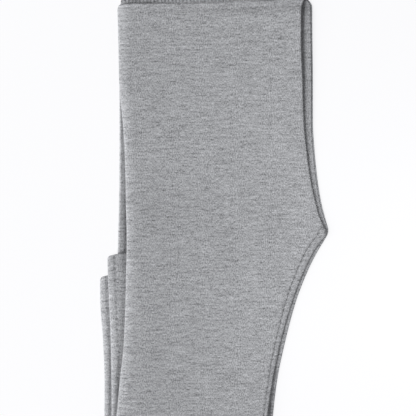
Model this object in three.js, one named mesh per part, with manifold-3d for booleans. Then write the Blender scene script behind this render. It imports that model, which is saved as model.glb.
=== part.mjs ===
// Baby leggings in fine jersey, folded flat: the left half lies on the right half, and the
// lower part of each leg is folded back inside the stack.
//
// Millimetres, +Z up. X runs across the garment: the outer side of the legs is at -X, and the
// rise and the inseams are at +X. Y runs from the folds at the legs (-Y) to the waist (+Y).
// The origin is at the middle of the footprint, on the surface that the garment lies on.
import * as THREE from 'three';
import Module from 'manifold-3d';

const wasm = await Module();
wasm.setup();

// Cloth
const WALL = 1.1;
const GAP = 0.3;
// Two walls of a leg with the gap between them, and the half height of a leg folded on itself
const LEG = 2 * WALL + GAP;
const HALF_STACK = LEG + GAP / 2;
const STACK = 2 * HALF_STACK;
const LAYER = LEG + GAP;

// Seams, measured from the edge that the cloth rolls round
const SIDE_SEAM = 4.6;
const SIDE_ROLL = 4.0;
const INSEAM_ROLL = 2.2;
const RISE_ROLL = 2.2;
const SEAM_END = 0.4;
// Under a plain front edge the back panel stops short, and its flat columns stop before its roll
const BACK_INSET = 0.8;
const BACK_ROLL_SPACE = 4;
const FLANGE_BEVEL = 0.3;

// Lengths along Y
const WAIST_SEAM = 129.6;
const CROTCH_SEAM = -8.4;
const LEFT_FOLD = -153;
const RIGHT_FOLD = -160;
const LEFT_HEM = -26;
const RIGHT_HEM = -39.6;
const HEM_WIDTH = 80;

// Waistband
const BAND_TOP = 157.4;
const BAND_SEAM = 130.2;
const BAND_WALL = 1.35;
const BAND_STEP = 1.2;
// The seam squeezes the band's walls together over this length
const BAND_PINCH = 0.12;
const BAND_PINCH_LENGTH = 7;
const RIB_PITCH = 2.2;
const RIB_HEIGHT = 0.35;

// The waist seam climbs toward the rise
const CLIMB_BELOW_WAIST = 35;
const CLIMB = [
  { x: -18, climb: 0 },
  { x: 14, climb: 0.75 },
  { x: 36, climb: 1.9 },
  { x: 54, climb: 2.6 },
];

// How far the upper half sinks past the ends and the edges of the folded legs under it
const HEM_SLOPE_UPPER = 56;
const HEM_SLOPE_INNER = 14;
const EDGE_SLOPE = 22;

// Near the waist seam the upper wall puffs up and then tucks down into the seam
const WAIST_PUFF = 0.8;
const PUFF_BELOW_WAIST = 14;
const PUFF_LENGTH = 9;
const TUCK_LENGTH = 3.2;

// The lower leg's cloth sags where it hangs past the seat's outer edge
const OVERHANG_SAG = 1.3;
const OVERHANG_REACH = 11;

// A row for each section across the seat and the upper legs. "Side" is the outer edge of the
// leg and "rise" the edge at the centre seam and, below the crotch, at the inside of the leg.
const SECTIONS = [
  { y: 129.6, leftSide: -58.2, leftRise: 53.4, rightSide: -57.6, rightRise: 58.6 },
  { y: 128.6, leftSide: -59.4, leftRise: 53.7, rightSide: -58.6, rightRise: 60.0 },
  { y: 126, leftSide: -59.8, leftRise: 53.7, rightSide: -59.2, rightRise: 60.5 },
  { y: 107, leftSide: -59.3, leftRise: 53.7, rightSide: -59.1, rightRise: 60.7 },
  { y: 82, leftSide: -58.8, leftRise: 54.5, rightSide: -59.0, rightRise: 61.0 },
  { y: 57, leftSide: -57.0, leftRise: 55.3, rightSide: -59.0, rightRise: 61.2 },
  { y: 38, leftSide: -56.0, leftRise: 57.0, rightSide: -59.0, rightRise: 62.3 },
  { y: 20, leftSide: -55.6, leftRise: 59.5, rightSide: -59.1, rightRise: 64.2 },
  { y: 8, leftSide: -55.4, leftRise: 62.0, rightSide: -59.3, rightRise: 66.1 },
  { y: 0, leftSide: -55.2, leftRise: 64.1, rightSide: -59.4, rightRise: 68.0 },
  { y: -6.4, leftSide: -55.1, leftRise: 66.4, rightSide: -59.6, rightRise: 69.8 },
  { y: -8.4, leftSide: -55.1, leftRise: 67.3, rightSide: -59.7, rightRise: 70.4 },
  { y: -9.4, leftSide: -55.0, leftRise: 67.9, rightSide: -59.7, rightRise: 70.7 },
  { y: -11, leftSide: -55.0, leftRise: 68.2, rightSide: -59.8, rightRise: 70.8 },
  { y: -13, leftSide: -55.0, leftRise: 68.2, rightSide: -59.8, rightRise: 70.4 },
  { y: -17, leftSide: -54.9, leftRise: 65.7, rightSide: -59.9, rightRise: 68.2 },
  { y: -24, leftSide: -54.8, leftRise: 61.3, rightSide: -60.1, rightRise: 64.0 },
  { y: -36, leftSide: -55.0, leftRise: 55.4, rightSide: -60.4, rightRise: 58.0 },
  { y: -54, leftSide: -55.4, leftRise: 48.3, rightSide: -61.0, rightRise: 51.0 },
  { y: -79, leftSide: -56.4, leftRise: 41.0, rightSide: -62.6, rightRise: 44.2 },
  { y: -104, leftSide: -58.8, leftRise: 35.7, rightSide: -64.8, rightRise: 39.0 },
  { y: -126, leftSide: -60.8, leftRise: 32.5, rightSide: -66.6, rightRise: 36.4 },
  { y: -153, leftSide: -63.4, leftRise: 30.2, rightSide: -68.2, rightRise: 34.6 },
  { y: -160, leftSide: -63.8, leftRise: 29.8, rightSide: -68.5, rightRise: 34.2 },
];

// The outer edges of the lower legs, folded back toward the waist
const SHANK_EDGES = [
  { y: -24, left: -66.0, right: -70.8 },
  { y: -54, left: -65.8, right: -70.8 },
  { y: -79, left: -64.6, right: -69.2 },
  { y: -104, left: -64.1, right: -68.2 },
  { y: -126, left: -64.0, right: -68.3 },
  { y: -153, left: -63.4, right: -68.5 },
  { y: -160, left: -63.4, right: -68.5 },
];

// How far the inseam lies from the inside edge of the leg
const INSEAM = [
  { y: -8.4, inset: 2.1 },
  { y: -9.4, inset: 2.7 },
  { y: -13, inset: 5.2 },
  { y: -24, inset: 4.8 },
  { y: -79, inset: 3.6 },
  { y: -126, inset: 2.7 },
  { y: -160, inset: 2.7 },
];

function smooth(value) {
  const t = Math.min(1, Math.max(0, value));
  return t * t * (3 - 2 * t);
}

// A value from a table whose rows run down Y
function lookUp(table, y, column) {
  if (y >= table[0].y) return table[0][column];
  for (let i = 1; i < table.length; i += 1) {
    const above = table[i - 1];
    const below = table[i];
    if (y >= below.y) {
      const t = (above.y - y) / (above.y - below.y);
      return above[column] + (below[column] - above[column]) * t;
    }
  }
  return table[table.length - 1][column];
}

const LEFT = { side: 'leftSide', rise: 'leftRise', shank: 'left', fold: LEFT_FOLD, hem: LEFT_HEM };
const RIGHT = {
  side: 'rightSide', rise: 'rightRise', shank: 'right', fold: RIGHT_FOLD, hem: RIGHT_HEM,
};

const seatSide = (half, y) => lookUp(SECTIONS, y, half.side);
const seatRise = (half, y) => lookUp(SECTIONS, y, half.rise);
const shankSide = (half, y) => lookUp(SHANK_EDGES, y, half.shank);

function shankInside(half, y) {
  const foldWidth = seatRise(half, half.fold) - shankSide(half, half.fold);
  const t = (y - half.fold) / (half.hem - half.fold);
  return shankSide(half, y) + foldWidth + (HEM_WIDTH - foldWidth) * t;
}

// Where the upper half starts to sink at the right of the folded lower legs
function foldedLegsEnd(y) {
  return Math.max(...[LEFT, RIGHT].map((half) => shankInside(half, Math.min(y, half.hem))));
}

// 1 over a folded lower leg, falling to 0 past its hem and past the inside of both lower legs
function overShank(half, x, y) {
  const pastHem = smooth((y - half.hem) / HEM_SLOPE_UPPER);
  const pastEdge = smooth((x - foldedLegsEnd(y)) / EDGE_SLOPE);
  return (1 - pastHem) * (1 - pastEdge);
}

// Heights of the faces that look away from each half's own cloth
function upperSeatFace(x, y) {
  const lifted = overShank(RIGHT, x, y) + overShank(LEFT, x, y);
  const puff = WAIST_PUFF * smooth((y - WAIST_SEAM + PUFF_BELOW_WAIST) / PUFF_LENGTH);
  const tuck = WAIST_PUFF * smooth((y - WAIST_SEAM + TUCK_LENGTH) / TUCK_LENGTH);
  return 2 * LAYER - GAP + LAYER * lifted + puff - tuck;
}

function upperShankFace(y) {
  return 2 * LAYER - LAYER * smooth((y - RIGHT_HEM) / HEM_SLOPE_INNER);
}

function lowerShankFace(x, y) {
  const overhang = (seatSide(RIGHT, y) - x) / OVERHANG_REACH;
  return STACK - OVERHANG_SAG * Math.max(0, overhang) ** 1.5;
}

// Where a point of a section goes: x across, depth inward from the face, along the run
function seatPlace(half, y) {
  if (half === LEFT) return (x, depth) => [x, y, upperSeatFace(x, y) - depth];
  return (x, depth) => [x, y, depth];
}

function shankPlace(half, y) {
  if (half === LEFT) return (x, depth) => [x, y, upperShankFace(y) + depth];
  return (x, depth) => [x, y, lowerShankFace(x, y) - depth];
}

function bendPlace(half, angle) {
  const base = half === LEFT ? LAYER * 2 : 0;
  const turn = half === LEFT ? 1 : -1;
  return (x, depth) => {
    const radius = HALF_STACK - depth;
    return [
      x,
      half.fold + HALF_STACK - radius * Math.sin(angle),
      base + HALF_STACK + turn * radius * Math.cos(angle),
    ];
  };
}

const SEAT_ROWS = SECTIONS.map((row) => row.y);
const SLOPE_ROWS = [14, 27];
const SHANK_ROWS = [-54, -79, -104, -126];
const BEND_STEPS = 6;

// Every section of a half, from the waist seam, round the fold at the leg and back to the hem
function legRows(half) {
  const rows = [];
  const straight = half.fold + HALF_STACK;
  const seatRows = [...SEAT_ROWS, ...SLOPE_ROWS].sort((a, b) => b - a);
  for (const y of seatRows) {
    if (y <= straight + 1) break;
    rows.push({
      y,
      side: seatSide(half, y),
      rise: seatRise(half, y),
      plain: CLIMB[0].x,
      place: seatPlace(half, y),
    });
  }
  for (let i = 0; i <= BEND_STEPS; i += 1) {
    rows.push({
      y: half.fold,
      side: seatSide(half, half.fold),
      rise: seatRise(half, half.fold),
      plain: CLIMB[0].x,
      place: bendPlace(half, (Math.PI * i) / BEND_STEPS),
    });
  }
  const hemRows = [half.hem - 14, half.hem - 7, half.hem - 2, half.hem];
  const shankRows = [...SHANK_ROWS, ...hemRows].sort((a, b) => a - b);
  for (const y of shankRows) {
    rows.push({
      y,
      side: shankSide(half, y),
      rise: shankInside(half, y),
      plain: seatSide(half, y) + 0.5,
      place: shankPlace(half, y),
    });
  }
  return rows;
}

// Points of an arc from +90 to -90 degrees: reach across, height along the depth
function roll(steps, map) {
  return Array.from({ length: steps + 1 }, (_, i) => {
    const angle = Math.PI / 2 - (Math.PI * i) / steps;
    return map(1 - Math.cos(angle), Math.sin(angle));
  });
}

// Columns across a section, shared by both walls so that they stay parallel where they sink
const SINK_COLUMNS = 5;
const COLUMN_STEP = 0.3;

function columnsAt(row) {
  const sink = foldedLegsEnd(row.y);
  const inside = row.rise - BACK_ROLL_SPACE - SEAM_END;
  const sinkEnd = Math.max(sink + 2, Math.min(sink + EDGE_SLOPE, inside));
  const slope = Array.from({ length: SINK_COLUMNS }, (_, i) => (
    sink + ((sinkEnd - sink) * i) / (SINK_COLUMNS - 1)
  ));
  return [row.plain, ...slope];
}

function across(from, to, depth, columns) {
  const low = Math.min(from, to);
  const high = Math.max(from, to);
  const held = columns.map((x, i) => Math.max(
    low + COLUMN_STEP * (i + 1),
    Math.min(high - COLUMN_STEP * (columns.length - i), x),
  ));
  return (from < to ? held : held.reverse()).map((x) => [x, depth]);
}

// The front panel rolls round the outer side and comes back under itself to the side seam
function frontSection(row) {
  const columns = columnsAt(row);
  const left = row.side;
  const right = row.rise - (row.y > CROTCH_SEAM ? 0 : lookUp(INSEAM, row.y, 'inset'));
  const seam = left + SIDE_SEAM;
  const soft = row.y > CROTCH_SEAM ? RISE_ROLL : SEAM_END;
  const middle = LEG / 2;
  const outer = roll(6, (reach, height) => [left + SIDE_ROLL * reach, middle - middle * height]);
  const inner = roll(2, (reach, height) => [
    left + WALL + (SIDE_ROLL - WALL) * reach,
    middle - (GAP / 2) * height,
  ]).reverse();
  return [
    across(right - soft, left + SIDE_ROLL, 0, columns),
    [...outer, [seam, LEG - FLANGE_BEVEL], [seam, WALL + GAP + FLANGE_BEVEL], ...inner],
    across(left + SIDE_ROLL, right - soft, WALL, columns),
    [
      [right - SEAM_END, WALL],
      [right, WALL * 0.7],
      [right - soft * 0.25, WALL * 0.25],
      [right - soft, 0],
    ],
  ];
}

// Where the back panel has no roll, the roll's points lie along its flat face
const FLAT_STEPS = [0.9, 1.3, 1.7, 2.1, 2.5];

// The back panel rolls round the inside of the leg and comes up to the inseam
function backSection(row) {
  const columns = columnsAt(row);
  const left = row.side + SIDE_SEAM + GAP;
  const face = LEG;
  const under = WALL + GAP;
  const flatEnd = row.rise - BACK_ROLL_SPACE;
  const plain = [
    across(flatEnd, left + 1, under, columns),
    [[left + SEAM_END, under], [left, face - WALL / 2], [left + SEAM_END, face]],
    across(left + 1, flatEnd, face, columns),
  ];
  if (row.y >= CROTCH_SEAM) {
    const right = row.rise - BACK_INSET;
    const half = WALL / 2;
    const end = roll(4, (reach, height) => [right - half * reach, face - half + half * height]);
    const rest = FLAT_STEPS.map((step) => [right - step, under]);
    return [...plain, [...end, ...rest]];
  }
  const flange = row.rise - lookUp(INSEAM, row.y, 'inset') + GAP;
  const middle = LEG / 2;
  const outer = roll(4, (reach, height) => [
    row.rise - INSEAM_ROLL * reach,
    middle + middle * height,
  ]);
  const inner = roll(2, (reach, height) => [
    row.rise - WALL - (INSEAM_ROLL - WALL) * reach,
    middle - (GAP / 2) * height,
  ]);
  return [...plain, [...outer, [flange, 0], [flange, WALL], ...inner]];
}

// A closed skin over sections. A section is an outline in four stretches: over the cloth, round
// its first end, back under the cloth, and round its second end.
function skin(sections, places) {
  const rings = sections.map((section) => section.flat());
  const count = rings[0].length;
  const vertices = rings.flatMap((ring, i) => ring.map(([x, depth]) => places[i](x, depth)));
  const faces = [];
  for (let i = 1; i < rings.length; i += 1) {
    for (let j = 0; j < count; j += 1) {
      const next = (j + 1) % count;
      const a = (i - 1) * count + j;
      const b = (i - 1) * count + next;
      // Every quad is split the same way across, so that parallel walls stay parallel
      if (rings[i][next][0] > rings[i][j][0]) {
        faces.push([a, b, b + count], [a, b + count, a + count]);
      } else {
        faces.push([a, b, a + count], [b, b + count, a + count]);
      }
    }
  }
  const turn = Math.sign(THREE.ShapeUtils.area(outlineOf(rings[0])));
  const last = rings.length - 1;
  faces.push(...endFaces(sections[0], 0, -turn));
  faces.push(...endFaces(sections[last], last * count, turn));
  return outward({ vertices, faces });
}

// Closes one end of a skin: a strip between the two long stretches, and the two rounded ends
function endFaces(section, first, turn) {
  const [over, firstEnd, under] = section;
  const outline = outlineOf(section.flat());
  const underStart = over.length + firstEnd.length;
  const underEnd = underStart + under.length - 1;
  const listed = (from, to) => Array.from({ length: to - from + 1 }, (_, i) => from + i);
  const pieces = [
    listed(over.length - 1, underStart),
    [...listed(underEnd, outline.length - 1), 0],
  ].filter((piece) => piece.length > 2);
  let [i, j] = [0, underEnd];
  while (i < over.length - 1 || j > underStart) {
    const stepOver = i < over.length - 1 ? Math.abs(outline[i + 1].x - outline[0].x) : Infinity;
    const stepUnder = j > underStart ? Math.abs(outline[j - 1].x - outline[0].x) : Infinity;
    if (stepOver <= stepUnder) {
      pieces.push([i, i + 1, j]);
      i += 1;
    } else {
      pieces.push([i, j - 1, j]);
      j -= 1;
    }
  }
  const faces = [];
  for (const piece of pieces) {
    const points = piece.map((index) => outline[index]);
    for (const corners of THREE.ShapeUtils.triangulateShape(points, [])) {
      const facing = Math.sign(THREE.ShapeUtils.area(corners.map((index) => points[index])));
      const face = corners.map((index) => first + piece[index]);
      faces.push(facing === turn ? face : face.reverse());
    }
  }
  return faces;
}

function outlineOf(section) {
  return section.map(([x, depth]) => new THREE.Vector2(x, depth));
}

// Turns every face round when the skin would face inward
function outward({ vertices, faces }) {
  let volume = 0;
  for (const [a, b, c] of faces) {
    const [p, q, r] = [vertices[a], vertices[b], vertices[c]];
    volume += p[0] * (q[1] * r[2] - q[2] * r[1]);
    volume += p[1] * (q[2] * r[0] - q[0] * r[2]);
    volume += p[2] * (q[0] * r[1] - q[1] * r[0]);
  }
  return { vertices, faces: volume > 0 ? faces : faces.map(([a, b, c]) => [a, c, b]) };
}

function solid({ vertices, faces }) {
  const vertProperties = new Float32Array(vertices.flat());
  const triVerts = new Uint32Array(faces.flat());
  return new wasm.Manifold(new wasm.Mesh({ numProp: 3, vertProperties, triVerts }));
}

function panel(half, section) {
  const rows = legRows(half);
  return skin(rows.map(section), rows.map((row) => row.place));
}

// The hidden cloth between the two inner walls of a folded leg, set in from every edge so that
// the walls still show as two layers
const CORE_INSET = 5;
const CORE_HALF = 0.45;
const CORE_ROWS = 8;

function foldCore(half) {
  const start = half.fold + HALF_STACK;
  const end = half.hem - CORE_INSET - (half === LEFT ? HEM_SLOPE_INNER : 0);
  const base = half === LEFT ? 2 * LAYER : 0;
  const sections = [];
  const places = [];
  for (let i = 0; i <= CORE_ROWS; i += 1) {
    const y = start + ((end - start) * i) / CORE_ROWS;
    const left = Math.max(seatSide(half, y), shankSide(half, y)) + SIDE_SEAM + CORE_INSET;
    const right = Math.min(seatRise(half, y), shankInside(half, y)) - CORE_INSET;
    sections.push([
      [[right, -CORE_HALF], [left, -CORE_HALF]],
      [],
      [[left, CORE_HALF], [right, CORE_HALF]],
      [],
    ]);
    places.push((x, height) => [x, y, base + HALF_STACK + height]);
  }
  return skin(sections, places);
}

const UNDER_STEPS = 8;

// One wall of the waistband: ribs along Y on its upper face when ribbed, and rounded ends
function bandWall({ level, left, right, top, ribbed }) {
  const ribs = Math.round((right - left - 2 * BAND_WALL) / RIB_PITCH);
  const steps = ribbed ? ribs * 4 : UNDER_STEPS;
  const ends = [
    { y: BAND_SEAM, swell: 0.35, relief: 0 },
    { y: BAND_SEAM + 0.6, swell: 0.8, relief: 0.7 },
    { y: BAND_SEAM + 2, swell: 1, relief: 1 },
    { y: top - 1, swell: 1, relief: 1 },
    { y: top - 0.3, swell: 0.7, relief: 0.6 },
    { y: top, swell: 0.3, relief: 0 },
  ];
  const half = BAND_WALL / 2;
  const sections = ends.map(({ swell, relief }) => {
    const inset = half * (1 - swell);
    const from = left + half + inset;
    const to = right - half - inset;
    const upper = Array.from({ length: steps + 1 }, (_, i) => {
      const rib = ribbed ? (RIB_HEIGHT / 2) * (1 - Math.cos((Math.PI * i) / 2)) : 0;
      return [from + ((to - from) * i) / steps, half * swell + rib * relief];
    });
    const tip = half * 0.7 * swell;
    const lower = Array.from({ length: UNDER_STEPS + 1 }, (_, i) => (
      [to - ((to - from) * i) / UNDER_STEPS, -half * swell]
    ));
    return [
      upper,
      [[to + tip, tip], [to + half * swell, 0], [to + tip, -tip]],
      lower,
      [[from - tip, -tip], [from - half * swell, 0], [from - tip, tip]],
    ];
  });
  const squeeze = (y) => 1 - BAND_PINCH * (1 - smooth((y - BAND_SEAM) / BAND_PINCH_LENGTH));
  const places = ends.map(({ y }) => (x, height) => [
    x,
    y,
    half + level * BAND_STEP * squeeze(y) + height,
  ]);
  return skin(sections, places);
}

// The waist opening's edge of each wall, from the surface up
const BAND_WALLS = [
  { level: 0, left: -58.2, right: 58.6, top: BAND_TOP - 0.6, ribbed: false },
  { level: 1, left: -58.4, right: 58.2, top: BAND_TOP - 1.0, ribbed: false },
  { level: 2, left: -58.1, right: 54.6, top: BAND_TOP - 0.4, ribbed: false },
  { level: 3, left: -58.3, right: 55.0, top: BAND_TOP, ribbed: true },
];

function waistband() {
  return BAND_WALLS.map((wall) => solid(bandWall(wall))).reduce((all, wall) => all.add(wall));
}

// The climb of the waist seam, shared by everything near the waist
function climbAt(x, y) {
  const next = CLIMB.findIndex((row) => x < row.x);
  let climb = CLIMB[CLIMB.length - 1].climb;
  if (next === 0) climb = 0;
  if (next > 0) {
    const [from, to] = [CLIMB[next - 1], CLIMB[next]];
    climb = from.climb + ((to.climb - from.climb) * (x - from.x)) / (to.x - from.x);
  }
  return climb * smooth((y - WAIST_SEAM + CLIMB_BELOW_WAIST) / CLIMB_BELOW_WAIST);
}

function geometryOf(body) {
  const mesh = body.getMesh();
  const stride = mesh.numProp;
  const positions = new Float32Array(mesh.numVert * 3);
  for (let i = 0; i < mesh.numVert; i += 1) {
    const [x, y, z] = mesh.vertProperties.slice(i * stride, i * stride + 3);
    positions.set([x, y + climbAt(x, y), z], i * 3);
  }
  const geometry = new THREE.BufferGeometry();
  geometry.setAttribute('position', new THREE.BufferAttribute(positions, 3));
  geometry.setIndex(Array.from(mesh.triVerts));
  geometry.computeVertexNormals();
  return geometry;
}

const JERSEY = { color: 0x9fa0a3, roughness: 0.95, metalness: 0 };
const RIB = { color: 0x8e8f92, roughness: 0.95, metalness: 0 };

function cloth(name, body, finish) {
  const mesh = new THREE.Mesh(geometryOf(body), new THREE.MeshStandardMaterial(finish));
  mesh.name = name;
  return mesh;
}

const leggings = new THREE.Group();
leggings.name = 'baby_leggings';
leggings.add(
  cloth('left_front_panel', solid(panel(LEFT, frontSection)), JERSEY),
  cloth('left_back_panel', solid(panel(LEFT, backSection)).add(solid(foldCore(LEFT))), JERSEY),
  cloth('right_front_panel', solid(panel(RIGHT, frontSection)), JERSEY),
  cloth('right_back_panel', solid(panel(RIGHT, backSection)).add(solid(foldCore(RIGHT))), JERSEY),
  cloth('waistband', waistband(), RIB),
);

export default leggings;
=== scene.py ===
"""Baby leggings in grey melange jersey, folded flat, with a ribbed waistband.

The left half lies on the right half, and the lower part of each leg is folded back inside the
stack. Tables and named sizes are in millimetres. X runs from the outer side of the legs to the
rise and the inseams, Y from the leg folds to the waist, and Z up from the table.
"""
import math
from functools import lru_cache

import bmesh
import bpy
from mathutils import Matrix, Vector, noise


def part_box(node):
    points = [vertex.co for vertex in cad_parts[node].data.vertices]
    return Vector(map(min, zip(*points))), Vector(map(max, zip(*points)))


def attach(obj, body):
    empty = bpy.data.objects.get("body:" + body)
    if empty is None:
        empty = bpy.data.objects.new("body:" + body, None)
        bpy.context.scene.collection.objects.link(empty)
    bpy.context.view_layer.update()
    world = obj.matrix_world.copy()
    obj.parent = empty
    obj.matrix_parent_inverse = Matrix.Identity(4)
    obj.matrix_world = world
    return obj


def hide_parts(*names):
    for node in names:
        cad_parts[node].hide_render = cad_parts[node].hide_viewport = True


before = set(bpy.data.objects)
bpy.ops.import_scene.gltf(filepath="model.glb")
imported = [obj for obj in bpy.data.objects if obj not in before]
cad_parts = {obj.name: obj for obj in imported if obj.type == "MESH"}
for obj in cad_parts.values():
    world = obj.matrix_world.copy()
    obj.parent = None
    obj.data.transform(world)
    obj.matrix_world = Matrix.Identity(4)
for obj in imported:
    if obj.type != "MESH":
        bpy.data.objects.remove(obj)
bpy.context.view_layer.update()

MM = 0.001


def mm_box(node):
    low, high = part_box(node)
    return low / MM, high / MM


# ---------------------------------------------------------------- sizes of the folded garment

LEFT_LOW, LEFT_HIGH = mm_box("left_front_panel")
RIGHT_LOW, RIGHT_HIGH = mm_box("right_front_panel")
_, BAND_HIGH = mm_box("waistband")

# One folded leg is four walls of cloth. GAP is the air between walls.
GAP = 0.3
STACK = RIGHT_HIGH.z
LAYER = (LEFT_HIGH.z + GAP) / 4
LEG = LAYER - GAP
HALF_STACK = STACK / 2
CLOTH = 0.7

LEFT_FOLD = LEFT_LOW.y
RIGHT_FOLD = RIGHT_LOW.y
LEFT_HEM = -26.0
RIGHT_HEM = -39.6
HEM_WIDTH = 80.0
WAIST_SEAM = 129.6
CROTCH = -8.4

# How far the side seam lies from the outer edge, and half the slits at the seams
SIDE_SEAM = 4.6
SEAM_SLIT = 0.03
SIDE_SLIT = 0.004
# The back panel's edge lies this far in from the front panel's, above the crotch
RISE_INSET = 0.85

# How far the layers take to come down past the hems, and past the inside of the lower legs
HEM_SLOPE_UPPER = 56.0
HEM_SLOPE_INNER = 14.0
EDGE_SLOPE = 22.0
# The cloth settles under its own weight, more toward the rise, where fewer layers lie
PRESS_START = -54.0
PRESS_EASE = 0.16
PRESS_DIP = 1.3
PRESS_FOLDED = 0.9
PRESS_END = [
    dict(y=129.6, keep=0.5),
    dict(y=126.0, keep=0.62),
    dict(y=121.0, keep=0.92),
    dict(y=104.0, keep=0.92),
    dict(y=60.0, keep=0.64),
    dict(y=20.0, keep=0.41),
    dict(y=-8.0, keep=0.45),
    dict(y=-30.0, keep=0.54),
    dict(y=-54.0, keep=0.47),
    dict(y=-80.0, keep=0.42),
]
# How deep the lower half dips where the edge of the left half lies on it
RISE_DIP = [
    dict(y=104.0, dip=1.0),
    dict(y=60.0, dip=0.9),
    dict(y=38.0, dip=0.3),
    dict(y=8.0, dip=0.25),
    dict(y=-8.0, dip=0.7),
    dict(y=-20.0, dip=1.15),
    dict(y=-40.0, dip=1.15),
    dict(y=-80.0, dip=0.7),
]
# The right lower leg sags where nothing lies under it
OVERHANG_SAG = 1.3
OVERHANG_REACH = 11.0
OVERHANG_BEND = 1.5
# The upper half stands up toward the waist seam, with a ridge at it
WAIST_PUFF = 0.8
WAIST_RIDGE = 0.8
PUFF_BELOW_WAIST = 14.0
PUFF_LENGTH = 9.0
RIDGE_LENGTH = 3.6
TURNED_IN = 1.2

# The edges of the seat and the upper legs. "Side" is the outer edge, "rise" the edge at the
# centre seam and, below the crotch, at the inside of the leg.
SECTIONS = [
    dict(y=129.6, left_side=-58.2, left_rise=56.2, right_side=-57.6, right_rise=58.6),
    dict(y=128.6, left_side=-59.4, left_rise=55.7, right_side=-58.6, right_rise=59.5),
    dict(y=126.0, left_side=-60.2, left_rise=54.7, right_side=-59.2, right_rise=60.7),
    dict(y=124.0, left_side=-60.2, left_rise=54.0, right_side=-59.2, right_rise=60.8),
    dict(y=122.0, left_side=-60.1, left_rise=53.8, right_side=-59.2, right_rise=60.8),
    dict(y=107.0, left_side=-59.7, left_rise=53.8, right_side=-59.1, right_rise=60.9),
    dict(y=82.0, left_side=-59.2, left_rise=54.7, right_side=-59.0, right_rise=61.2),
    dict(y=57.0, left_side=-57.0, left_rise=55.4, right_side=-59.0, right_rise=61.2),
    dict(y=38.0, left_side=-55.8, left_rise=57.3, right_side=-59.0, right_rise=62.3),
    dict(y=20.0, left_side=-55.2, left_rise=59.8, right_side=-59.1, right_rise=64.2),
    dict(y=8.0, left_side=-55.0, left_rise=62.4, right_side=-59.3, right_rise=66.1),
    dict(y=0.0, left_side=-54.8, left_rise=64.4, right_side=-59.4, right_rise=68.0),
    dict(y=-6.4, left_side=-54.5, left_rise=67.0, right_side=-59.6, right_rise=69.8),
    dict(y=-9.4, left_side=-54.4, left_rise=68.7, right_side=-59.7, right_rise=70.7),
    dict(y=-11.0, left_side=-54.4, left_rise=69.2, right_side=-59.8, right_rise=70.8),
    dict(y=-13.0, left_side=-54.4, left_rise=69.3, right_side=-59.8, right_rise=70.4),
    dict(y=-17.0, left_side=-54.3, left_rise=66.3, right_side=-59.9, right_rise=68.2),
    dict(y=-24.0, left_side=-54.4, left_rise=61.5, right_side=-60.1, right_rise=64.0),
    dict(y=-36.0, left_side=-54.7, left_rise=55.5, right_side=-60.4, right_rise=58.0),
    dict(y=-54.0, left_side=-55.1, left_rise=48.5, right_side=-61.0, right_rise=51.0),
    dict(y=-79.0, left_side=-56.1, left_rise=41.3, right_side=-62.6, right_rise=44.2),
    dict(y=-104.0, left_side=-58.6, left_rise=36.0, right_side=-64.8, right_rise=39.0),
    dict(y=-126.0, left_side=-60.6, left_rise=32.8, right_side=-66.6, right_rise=36.4),
    dict(y=-153.0, left_side=-63.4, left_rise=30.8, right_side=-68.2, right_rise=34.6),
    dict(y=-160.0, left_side=-63.8, left_rise=30.4, right_side=-68.5, right_rise=34.2),
]

# The outer edges of the lower legs, folded back toward the waist
SHANK_EDGES = [
    dict(y=-24.0, left=-66.5, right=-71.1),
    dict(y=-54.0, left=-65.4, right=-70.9),
    dict(y=-79.0, left=-64.3, right=-69.2),
    dict(y=-104.0, left=-63.8, right=-68.2),
    dict(y=-126.0, left=-63.7, right=-68.3),
    dict(y=-153.0, left=-63.4, right=-68.5),
    dict(y=-160.0, left=-63.4, right=-68.5),
]

# How far the inseam lies from the inside edge of the leg
INSEAM = [
    dict(y=-8.4, inset=2.1),
    dict(y=-9.4, inset=2.7),
    dict(y=-13.0, inset=5.2),
    dict(y=-24.0, inset=4.8),
    dict(y=-54.0, inset=3.7),
    dict(y=-79.0, inset=3.0),
    dict(y=-126.0, inset=2.1),
    dict(y=-160.0, inset=2.1),
]

# The climb of the waist seam toward the rise
CLIMB = [
    dict(y=54.0, left=4.2, right=2.6),
    dict(y=36.0, left=2.8, right=1.9),
    dict(y=14.0, left=1.5, right=0.75),
    dict(y=0.0, left=0.95, right=0.3),
    dict(y=-18.0, left=0.65, right=0.0),
    dict(y=-36.0, left=0.55, right=0.0),
    dict(y=-58.0, left=0.2, right=0.0),
]
CLIMB_BELOW_WAIST = 35.0

# The climb of the hems away from the outer edge, with the hem's rounded corner at the edge.
# The "y" of this table is the distance across from the edge.
HEM_CLIMB = [
    dict(y=14.0, climb=1.2),
    dict(y=11.0, climb=1.05),
    dict(y=6.6, climb=0.46),
    dict(y=3.0, climb=-0.35),
    dict(y=1.6, climb=-0.7),
    dict(y=0.9, climb=-1.1),
    dict(y=0.4, climb=-1.8),
    dict(y=0.0, climb=-3.0),
]
HEM_CLIMB_LENGTH = 24.0
# Layers dip toward the edges that lie on them: how deep, and how wide each dip is
SINK = 0.85
SINK_DEEP = 1.05
SEAT_VALLEY = 3.6
LEFT_SHANK_VALLEY = 3.8
RIGHT_SHANK_VALLEY = 3.2
DIP_WIDTH = 0.9
# The lower half's dip ends below the left hem and toward the rise, and is deepest at that hem
VALLEY_END = -34.0
VALLEY_FADE = 8.0
VALLEY_RIGHT = 20.0
VALLEY_NEAR_HEM = 30.0


def ease(value):
    t = min(1.0, max(0.0, value))
    return t * t * (3 - 2 * t)


def slope_between(table, i, column):
    return (table[i][column] - table[i + 1][column]) / (table[i]["y"] - table[i + 1]["y"])


def row_slope(table, i, column):
    """The slope at a row: none where the column turns back, so that nothing overshoots."""
    before = slope_between(table, max(i - 1, 0), column)
    after = slope_between(table, min(i, len(table) - 2), column)
    if before * after <= 0:
        return 0.0
    return 2 * before * after / (before + after)


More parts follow.
